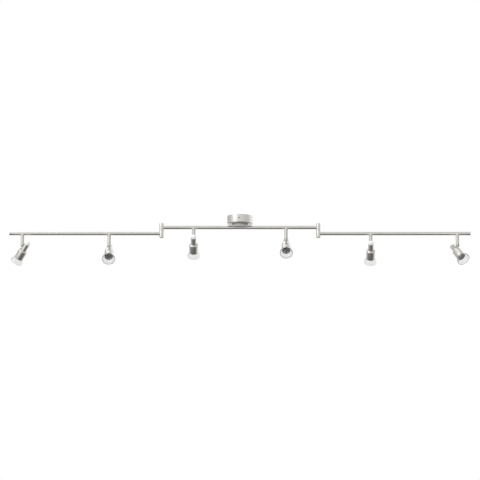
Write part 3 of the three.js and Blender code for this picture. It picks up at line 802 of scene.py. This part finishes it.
def lower_half():
    bore = BOLT_RADIUS + HOLE_GAP
    recess = BOLT_HEAD_RADIUS + HOLE_GAP
    body = turned(
        [
            (bore, bolt_head_top + HOLE_GAP, 0),
            (recess, bolt_head_top + HOLE_GAP, 0),
            (recess, -KNUCKLE_HALF, 0.3),
            (KNUCKLE_RADIUS, -KNUCKLE_HALF, KNUCKLE_EDGE),
            (KNUCKLE_RADIUS, -SPLIT_GAP / 2, 0.3),
            (bore, -SPLIT_GAP / 2, 0),
            (bore, bolt_head_top + HOLE_GAP, 0),
        ]
    )
    return worked(body, "DIFFERENCE", tube_socket(1))


def swivel_bolt():
    body = turned(
        [
            (0, bolt_head_low, 0),
            (BOLT_HEAD_RADIUS, bolt_head_low, 0.5),
            (BOLT_HEAD_RADIUS, bolt_head_top, 0.2),
            (BOLT_RADIUS, bolt_head_top, 0),
            (BOLT_RADIUS, bolt_top, 0.3),
            (BOLT_BORE, bolt_top, 0.2),
            (BOLT_BORE, -tube_from_split - BOLT_RADIUS, 0),
            (0, -tube_from_split - BOLT_RADIUS, 0),
        ],
        48,
    )
    key_socket = rod(KEY_SOCKET_RADIUS, bolt_head_low - 1, bolt_head_low + KEY_SOCKET_DEPTH, "Z", 6)
    ports = [rod(BOLT_BORE, -6, 0, "X", 24), rod(BOLT_BORE, 0, 6, "X", 24)]
    for port, z in zip(ports, (tube_from_split, -tube_from_split)):
        bmesh.ops.translate(port, verts=port.verts, vec=(0, 0, z))
    return worked(body, "DIFFERENCE", key_socket, *ports)


for side, sign, turn, _ in ARM_SIDES:
    knuckle_middle = Matrix.Translation((sign * knuckle_x * MM, 0, split_z * MM))
    at_knuckle = knuckle_middle @ Matrix.Rotation(turn, 4, "Z")
    for name, shape, node, body, finish, slot in (
        ("knuckle_upper", upper_half(), "knuckle_top", "bar", satin_nickel, "satin_nickel"),
        ("knuckle_lower", lower_half(), "knuckle_bottom", f"{side}_arm", satin_nickel, "satin_nickel"),
        ("swivel_bolt", swivel_bolt(), "pivot", "bar", screw_steel, "screw_steel"),
    ):
        piece = placed(f"{side}_{name}", shape, finish, at_knuckle)
        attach(piece, body)
        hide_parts(f"{side}_{node}")


# ---- Stems ----
# A turned steel stem hangs each spot from its saddle on a headed spigot, so that it can pan. Its
# lower end is tapered and slotted into a fork, spot faced for the hinge bolt.
STEM_RADIUS = 6.75
STEM_EDGE = 0.4
STEM_GAP = 0.25  # under the saddle
STEM_BORE = 1.6
STEM_TIP = 4.2
STEM_TIP_RADIUS = 4.5
FORK_GAP = 6
FORK_GAP_TOP = 6.8
SPIGOT_HEAD = ((4.4, -2.5), (4.4, -1))
HINGE_RADIUS = 1.5
HINGE_HEAD_RADIUS = 2.8
HINGE_HEAD = 1
HINGE_SEAT = 5.6
HINGE_SLOT = 0.5
hinge_drop = (joints["spot_1_pan"]["pos_m"][2] - joints["spot_1_tilt"]["pos_m"][2]) / MM
stem_top = -TUBE_RADIUS - SADDLE_LIP - STEM_GAP

stem_nickel = brushed_metal(
    "turned_stem_nickel", dark=(0.58, 0.57, 0.54), light=(0.67, 0.66, 0.63),
    smoothest=0.28, roughest=0.4, lines=4.0, depth=0.01,
)


def stem():
    body = turned(
        [
            (0, -hinge_drop - STEM_TIP, 0),
            (STEM_TIP_RADIUS, -hinge_drop - STEM_TIP, 1.2),
            (STEM_RADIUS, -hinge_drop, 1.5),
            (STEM_RADIUS, stem_top, STEM_EDGE),
            (SPIGOT_RADIUS, stem_top, 0),
            (SPIGOT_RADIUS, SPIGOT_HEAD[0][1], 0),
            (*SPIGOT_HEAD[0], 0.2),
            (*SPIGOT_HEAD[1], 0.2),
            (0, SPIGOT_HEAD[1][1], 0),
        ]
    )
    gap = block((-FORK_GAP / 2, -20, -hinge_drop - 20), (FORK_GAP / 2, 20, FORK_GAP_TOP - hinge_drop))
    wire_way = rod(STEM_BORE, -hinge_drop, 1, "Z", 24)
    cross = [
        rod(HINGE_RADIUS + FIT_GAP, -BEYOND, BEYOND, "X", 24),
        rod(HINGE_HEAD_RADIUS + 0.2, HINGE_SEAT, BEYOND, "X", 32),
        rod(HINGE_HEAD_RADIUS + 0.2, -BEYOND, -HINGE_SEAT, "X", 32),
    ]
    for tool in cross:
        bmesh.ops.translate(tool, verts=tool.verts, vec=(0, 0, -hinge_drop))
    return worked(body, "DIFFERENCE", gap, wire_way, *cross)


def hinge_bolt():
    """A screw in a threaded sleeve, slotted at both ends, turned about Z."""
    seat = HINGE_SEAT + SEAT_GAP
    end = seat + HINGE_HEAD
    body = turned(
        [
            (0, -end, 0),
            (HINGE_HEAD_RADIUS, -end, 0.4),
            (HINGE_HEAD_RADIUS, -seat, 0.1),
            (HINGE_RADIUS, -seat, 0),
            (HINGE_RADIUS, seat, 0),
            (HINGE_HEAD_RADIUS, seat, 0.1),
            (HINGE_HEAD_RADIUS, end, 0.4),
            (0, end, 0),
        ],
        32,
    )
    near_slot = block((-4, -SLOT_HALF, end - HINGE_SLOT), (4, SLOT_HALF, end + 1))
    far_slot = block((-4, -SLOT_HALF, -end - 1), (4, SLOT_HALF, HINGE_SLOT - end))
    return worked(body, "DIFFERENCE", near_slot, far_slot)


def pan_place(n):
    """Where a spot's stem hangs: the tube's axis over it, turned so that -Y is its aim."""
    hinge_axis = joints[f"spot_{n}_tilt"]["axis"]
    aim = math.atan2(-hinge_axis[1], -hinge_axis[0])
    return Matrix.Translation(joints[f"spot_{n}_pan"]["pos_m"]) @ Matrix.Rotation(aim, 4, "Z")


for n in range(1, 7):
    stem_piece = placed(f"spot_{n}_neck", stem(), stem_nickel, pan_place(n))
    at_hinge = pan_place(n) @ Matrix.Translation((0, 0, -hinge_drop * MM)) @ along_x
    bolt_piece = placed(f"spot_{n}_hinge_bolt", hinge_bolt(), zinc_steel, at_hinge)
    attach(stem_piece, f"stem_{n}")
    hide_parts(f"spot_{n}_stem")
    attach(bolt_piece, f"stem_{n}")
    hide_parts(f"spot_{n}_hinge_screw")


# ---- Housings ----
# Each spot's housing is spun from steel sheet: a narrow barrel over the lampholder, a round
# shoulder and a wide bell round the lamp. A lug for the hinge is brazed to the barrel's side,
# and a push fit dome of white opal glass closes the barrel's rear end, painted to glow faintly.
BARREL_RADIUS = 10.75
BELL_RADIUS = 17.5
HOUSING_WALL = 1.2
HINGE_FROM_REAR = 34.2
HINGE_GAP = 0.45
SHOULDER_FROM_REAR = 41.8
SHOULDER_ROUND = 4.8
MOUTH_FROM_REAR = 80.8
LUG_RADIUS = 4.2
LUG_FOOT = 6
LUG_THICKNESS = 5.4
DOME_LENGTH = 12.8
DOME_ROUND = 10
DOME_SEAM = 0.3  # a fine groove between dome and barrel
DOME_SKIRT = 4
hinge_offset = BARREL_RADIUS + STEM_RADIUS + HINGE_GAP


def head_place(n):
    """The head's own axes: the rear of its dome at 0 and its mouth down -Z, hinge towards -Y."""
    tilt = math.radians(-joints[f"spot_{n}_tilt"]["range_deg"][0])
    return (
        pan_place(n)
        @ Matrix.Translation((0, 0, -hinge_drop * MM))
        @ Matrix.Rotation(-tilt, 4, "X")
        @ Matrix.Translation((0, hinge_offset * MM, HINGE_FROM_REAR * MM))
    )


def hinge_lug():
    """A plate across X, round at the hinge, its foot let into the barrel's wall."""
    foot = hinge_offset - BARREL_RADIUS + HOUSING_WALL * 0.8
    bm = bmesh.new()
    outline = [(0, LUG_RADIUS), (foot, LUG_FOOT), (foot, -LUG_FOOT), (0, -LUG_RADIUS),
               (-LUG_RADIUS, -LUG_RADIUS), (-LUG_RADIUS, LUG_RADIUS)]
    verts = [bm.verts.new((-LUG_THICKNESS / 2, y, z)) for y, z in outline]
    bm.faces.new(verts)
    bmesh.ops.bevel(
        bm, geom=verts[4:], offset=LUG_RADIUS * 0.98, affect="VERTICES", segments=10, profile=0.5,
        material=-1,
    )
    wide = bmesh.ops.extrude_face_region(bm, geom=bm.faces[:])["geom"]
    moved = [v for v in wide if isinstance(v, bmesh.types.BMVert)]
    bmesh.ops.translate(bm, verts=moved, vec=(LUG_THICKNESS, 0, 0))
    bmesh.ops.recalc_face_normals(bm, faces=bm.faces)
    bmesh.ops.translate(bm, verts=bm.verts, vec=(0, -hinge_offset, -HINGE_FROM_REAR))
    return bm


def housing():
    wall = HOUSING_WALL
    shell = turned(
        [
            (BARREL_RADIUS - wall, -DOME_LENGTH, 0),
            (BARREL_RADIUS - wall, -SHOULDER_FROM_REAR - wall, 0.8),
            (BELL_RADIUS - wall, -SHOULDER_FROM_REAR - wall, SHOULDER_ROUND - wall),
            (BELL_RADIUS - wall, -MOUTH_FROM_REAR, 0.3),
            (BELL_RADIUS, -MOUTH_FROM_REAR, 0.3),
            (BELL_RADIUS, -SHOULDER_FROM_REAR, SHOULDER_ROUND),
            (BARREL_RADIUS, -SHOULDER_FROM_REAR, 0.4),
            (BARREL_RADIUS, -DOME_LENGTH, 0.3),
            (BARREL_RADIUS - wall, -DOME_LENGTH, 0),
        ]
    )
    hole = rod(HINGE_RADIUS + FIT_GAP, -BEYOND, BEYOND, "X", 24)
    bmesh.ops.translate(hole, verts=hole.verts, vec=(0, -hinge_offset, -HINGE_FROM_REAR))
    return worked(worked(shell, "UNION", hinge_lug()), "DIFFERENCE", hole)


def rear_cap():
    """Its skirt is a push fit in the barrel."""
    wall = HOUSING_WALL
    skirt = BARREL_RADIUS - wall - SEAT_GAP
    seat = DOME_SEAM - DOME_LENGTH
    return turned(
        [
            (0, 0, 0),
            (BARREL_RADIUS, 0, DOME_ROUND),
            (BARREL_RADIUS, seat, 0.3),
            (skirt, seat, 0),
            (skirt, seat - DOME_SKIRT, 0.3),
            (skirt - wall, seat - DOME_SKIRT, 0.3),
            (skirt - wall, -wall, DOME_ROUND - 2 * wall),
            (0, -wall, 0),
        ]
    )


def frosted_glass(name, dark, light, clearness, smoothest, roughest):
    """Glass etched to a fine frost, with faint clouds in its tone."""
    made, nodes, links, surface = shader(name)
    surface.inputs["Transmission Weight"].default_value = clearness
    surface.inputs["IOR"].default_value = 1.47
    frost = noise(nodes, links, own_grain(nodes), 1.5, 6.0)
    links.new(spread(nodes, links, frost, smoothest, roughest), surface.inputs["Roughness"])
    two_tone(nodes, links, frost, dark, light, surface)
    return made


# The rear dome's white opal glass; the painted glow is set on it below.
opal_glass_painted_glow = frosted_glass(
    "white_opal_glass_painted_glow", (0.95, 0.95, 0.945), (0.985, 0.985, 0.98), 0.12, smoothest=0.2, roughest=0.32
)
# Painted glow: a faint emission makes the opal dome shine, though it is no lamp.
opal_painted_glow_surface = opal_glass_painted_glow.node_tree.nodes["Principled BSDF"]
opal_painted_glow_surface.inputs["Emission Color"].default_value = (1, 1, 0.99, 1)
opal_painted_glow_surface.inputs["Emission Strength"].default_value = 0.1

for n in range(1, 7):
    can = placed(f"spot_{n}_can", housing(), satin_nickel, head_place(n))
    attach(can, f"head_{n}")
    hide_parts(f"spot_{n}_housing")
    dome = placed(f"spot_{n}_rear_cap", rear_cap(), opal_glass_painted_glow, head_place(n))
    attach(dome, f"head_{n}")


# ---- Reflector, lampholder and lamp ----
# Behind each mouth a bright spun aluminium bowl stands round a frosted capsule lamp, whose two
# steel pins plug into a ceramic holder in the barrel.
REFLECTOR_DEPTH = 5
REFLECTOR_LENGTH = 30
REFLECTOR_WALL = 0.8
REFLECTOR_LIP = 1.3
LAMP_RADIUS = 6.3
LAMP_LENGTH = 35
HOLDER_LENGTH = 22
PIN_RADIUS = 0.6
PIN_LENGTH = 6
PIN_SPACING = 9
bowl_mouth = -MOUTH_FROM_REAR + REFLECTOR_DEPTH
holder_face = bowl_mouth + LAMP_LENGTH + HOLE_GAP

spun_aluminium = brushed_metal(
    "spun_aluminium", dark=(0.88, 0.88, 0.87), light=(0.96, 0.96, 0.95),
    smoothest=0.4, roughest=0.55, lines=3.0, depth=0.02,
)
# Its anodised skin scatters about half of the light.
spun_aluminium.node_tree.nodes["Principled BSDF"].inputs["Metallic"].default_value = 0.5
ceramic = moulded("steatite_ceramic", (0.85, 0.83, 0.78), (0.76, 0.73, 0.67), 0.4)
lamp_glass = frosted_glass(
    "frosted_lamp_glass", (0.86, 0.83, 0.76), (0.93, 0.91, 0.86), 0.6, smoothest=0.3, roughest=0.45
)


def reflector():
    lip = BELL_RADIUS - HOUSING_WALL - FIT_GAP
    bowl = lip - REFLECTOR_LIP
    throat = LAMP_RADIUS + HOLE_GAP
    steps = 10
    quarter = [math.radians(90 * i / steps) for i in range(steps + 1)]
    inner = [
        (throat + (bowl - throat) * math.cos(a), bowl_mouth + REFLECTOR_LENGTH * math.sin(a), 0)
        for a in quarter
    ]
    outer = [(radius + REFLECTOR_WALL, height, 0) for radius, height, _ in reversed(inner[1:])]
    lip_top = bowl_mouth + REFLECTOR_WALL
    return turned(
        inner + outer
        + [(bowl + REFLECTOR_WALL, lip_top, 0), (lip, lip_top, 0.2), (lip, bowl_mouth, 0.2), inner[0]]
    )


def pins(radius, start, end):
    made = []
    for side in (-1, 1):
        pin = rod(radius, start, end, "Z", 16)
        bmesh.ops.translate(pin, verts=pin.verts, vec=(side * PIN_SPACING / 2, 0, 0))
        made.append(pin)
    return made


def lampholder():
    radius = BARREL_RADIUS - HOUSING_WALL - 0.3
    body = turned(
        [(0, holder_face, 0), (radius, holder_face, 0.8), (radius, holder_face + HOLDER_LENGTH, 0.8),
         (0, holder_face + HOLDER_LENGTH, 0)]
    )
    return worked(body, "DIFFERENCE", *pins(PIN_RADIUS + 0.2, holder_face - 1, holder_face + PIN_LENGTH))


def capsule():
    rear = holder_face - HOLE_GAP
    return turned(
        [(0, bowl_mouth, 0), (LAMP_RADIUS, bowl_mouth, LAMP_RADIUS - 0.01), (LAMP_RADIUS, rear, 0.8),
         (0, rear, 0)]
    )


for n in range(1, 7):
    for name, shape, node, finish, slot in (
        ("bowl", reflector(), "reflector", spun_aluminium, "mirror_aluminium"),
        ("socket", lampholder(), "lampholder", ceramic, "ceramic"),
        ("capsule", capsule(), "lamp", lamp_glass, "lamp_glass"),
    ):
        piece = placed(f"spot_{n}_{name}", shape, finish, head_place(n))
        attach(piece, f"head_{n}")
        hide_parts(f"spot_{n}_{node}")
    lamp_pins = pins(PIN_RADIUS, holder_face - HOLE_GAP, holder_face + PIN_LENGTH - 0.5)
    for side, pin in zip(("a", "b"), lamp_pins):
        piece = placed(f"spot_{n}_lamp_pin_{side}", pin, zinc_steel, head_place(n))
        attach(piece, f"head_{n}")


# ---- Glass shades ----
# A cup of clear blown glass stands out of each mouth: a neck inside the bell, a wall that
# flares quickly and turns straight, and a fire polished rim.
GLASS_WALL = 1.5
GLASS_NECK = 4
GLASS_LENGTH = 19.3
GLASS_RADIUS = 25.2
FLARE_STEPS = 14
FLARE_POWER = 2.2


def clear_glass():
    made, nodes, links, surface = shader("clear_glass")
    surface.inputs["Base Color"].default_value = (0.93, 0.94, 0.935, 1)
    surface.inputs["Transmission Weight"].default_value = 1
    surface.inputs["IOR"].default_value = 1.47
    own = own_grain(nodes)
    haze = noise(nodes, links, own, 0.08, 3.0)
    links.new(spread(nodes, links, haze, 0.01, 0.05), surface.inputs["Roughness"])
    bumped(nodes, links, noise(nodes, links, own, 0.25, 1.0), 0.1, 0.03, surface)
    return made


shade_glass = clear_glass()


def glass_shade():
    neck = BELL_RADIUS - HOUSING_WALL - 0.2
    seat = -MOUTH_FROM_REAR - FIT_GAP
    rim = -MOUTH_FROM_REAR - 0.3 - GLASS_LENGTH
    flare = GLASS_RADIUS - BELL_RADIUS
    depths = [i / FLARE_STEPS for i in range(FLARE_STEPS + 1)]  # 0 at the rim, 1 at the bell
    reach = [flare * (1 - depth**FLARE_POWER) for depth in depths]
    outer = [(BELL_RADIUS + out, rim + (seat - rim) * depth, 0) for out, depth in zip(reach, depths)]
    inner = [
        (BELL_RADIUS - GLASS_WALL + out, rim + (seat - rim - GLASS_WALL) * depth, 0)
        for out, depth in zip(reach, depths)
    ]
    outer[0] = (*outer[0][:2], 0.8)
    inner[0] = (*inner[0][:2], 0.8)
    return turned(
        [(neck - GLASS_WALL, seat + GLASS_NECK, 0.5), *reversed(inner), *outer, (neck, seat, 0.3),
         (neck, seat + GLASS_NECK, 0.5), (neck - GLASS_WALL, seat + GLASS_NECK, 0.5)],
        96,
    )


for n in range(1, 7):
    shade = placed(f"spot_{n}_shade", glass_shade(), shade_glass, head_place(n), smooth=60)
    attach(shade, f"head_{n}")
    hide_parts(f"spot_{n}_glass_shade")
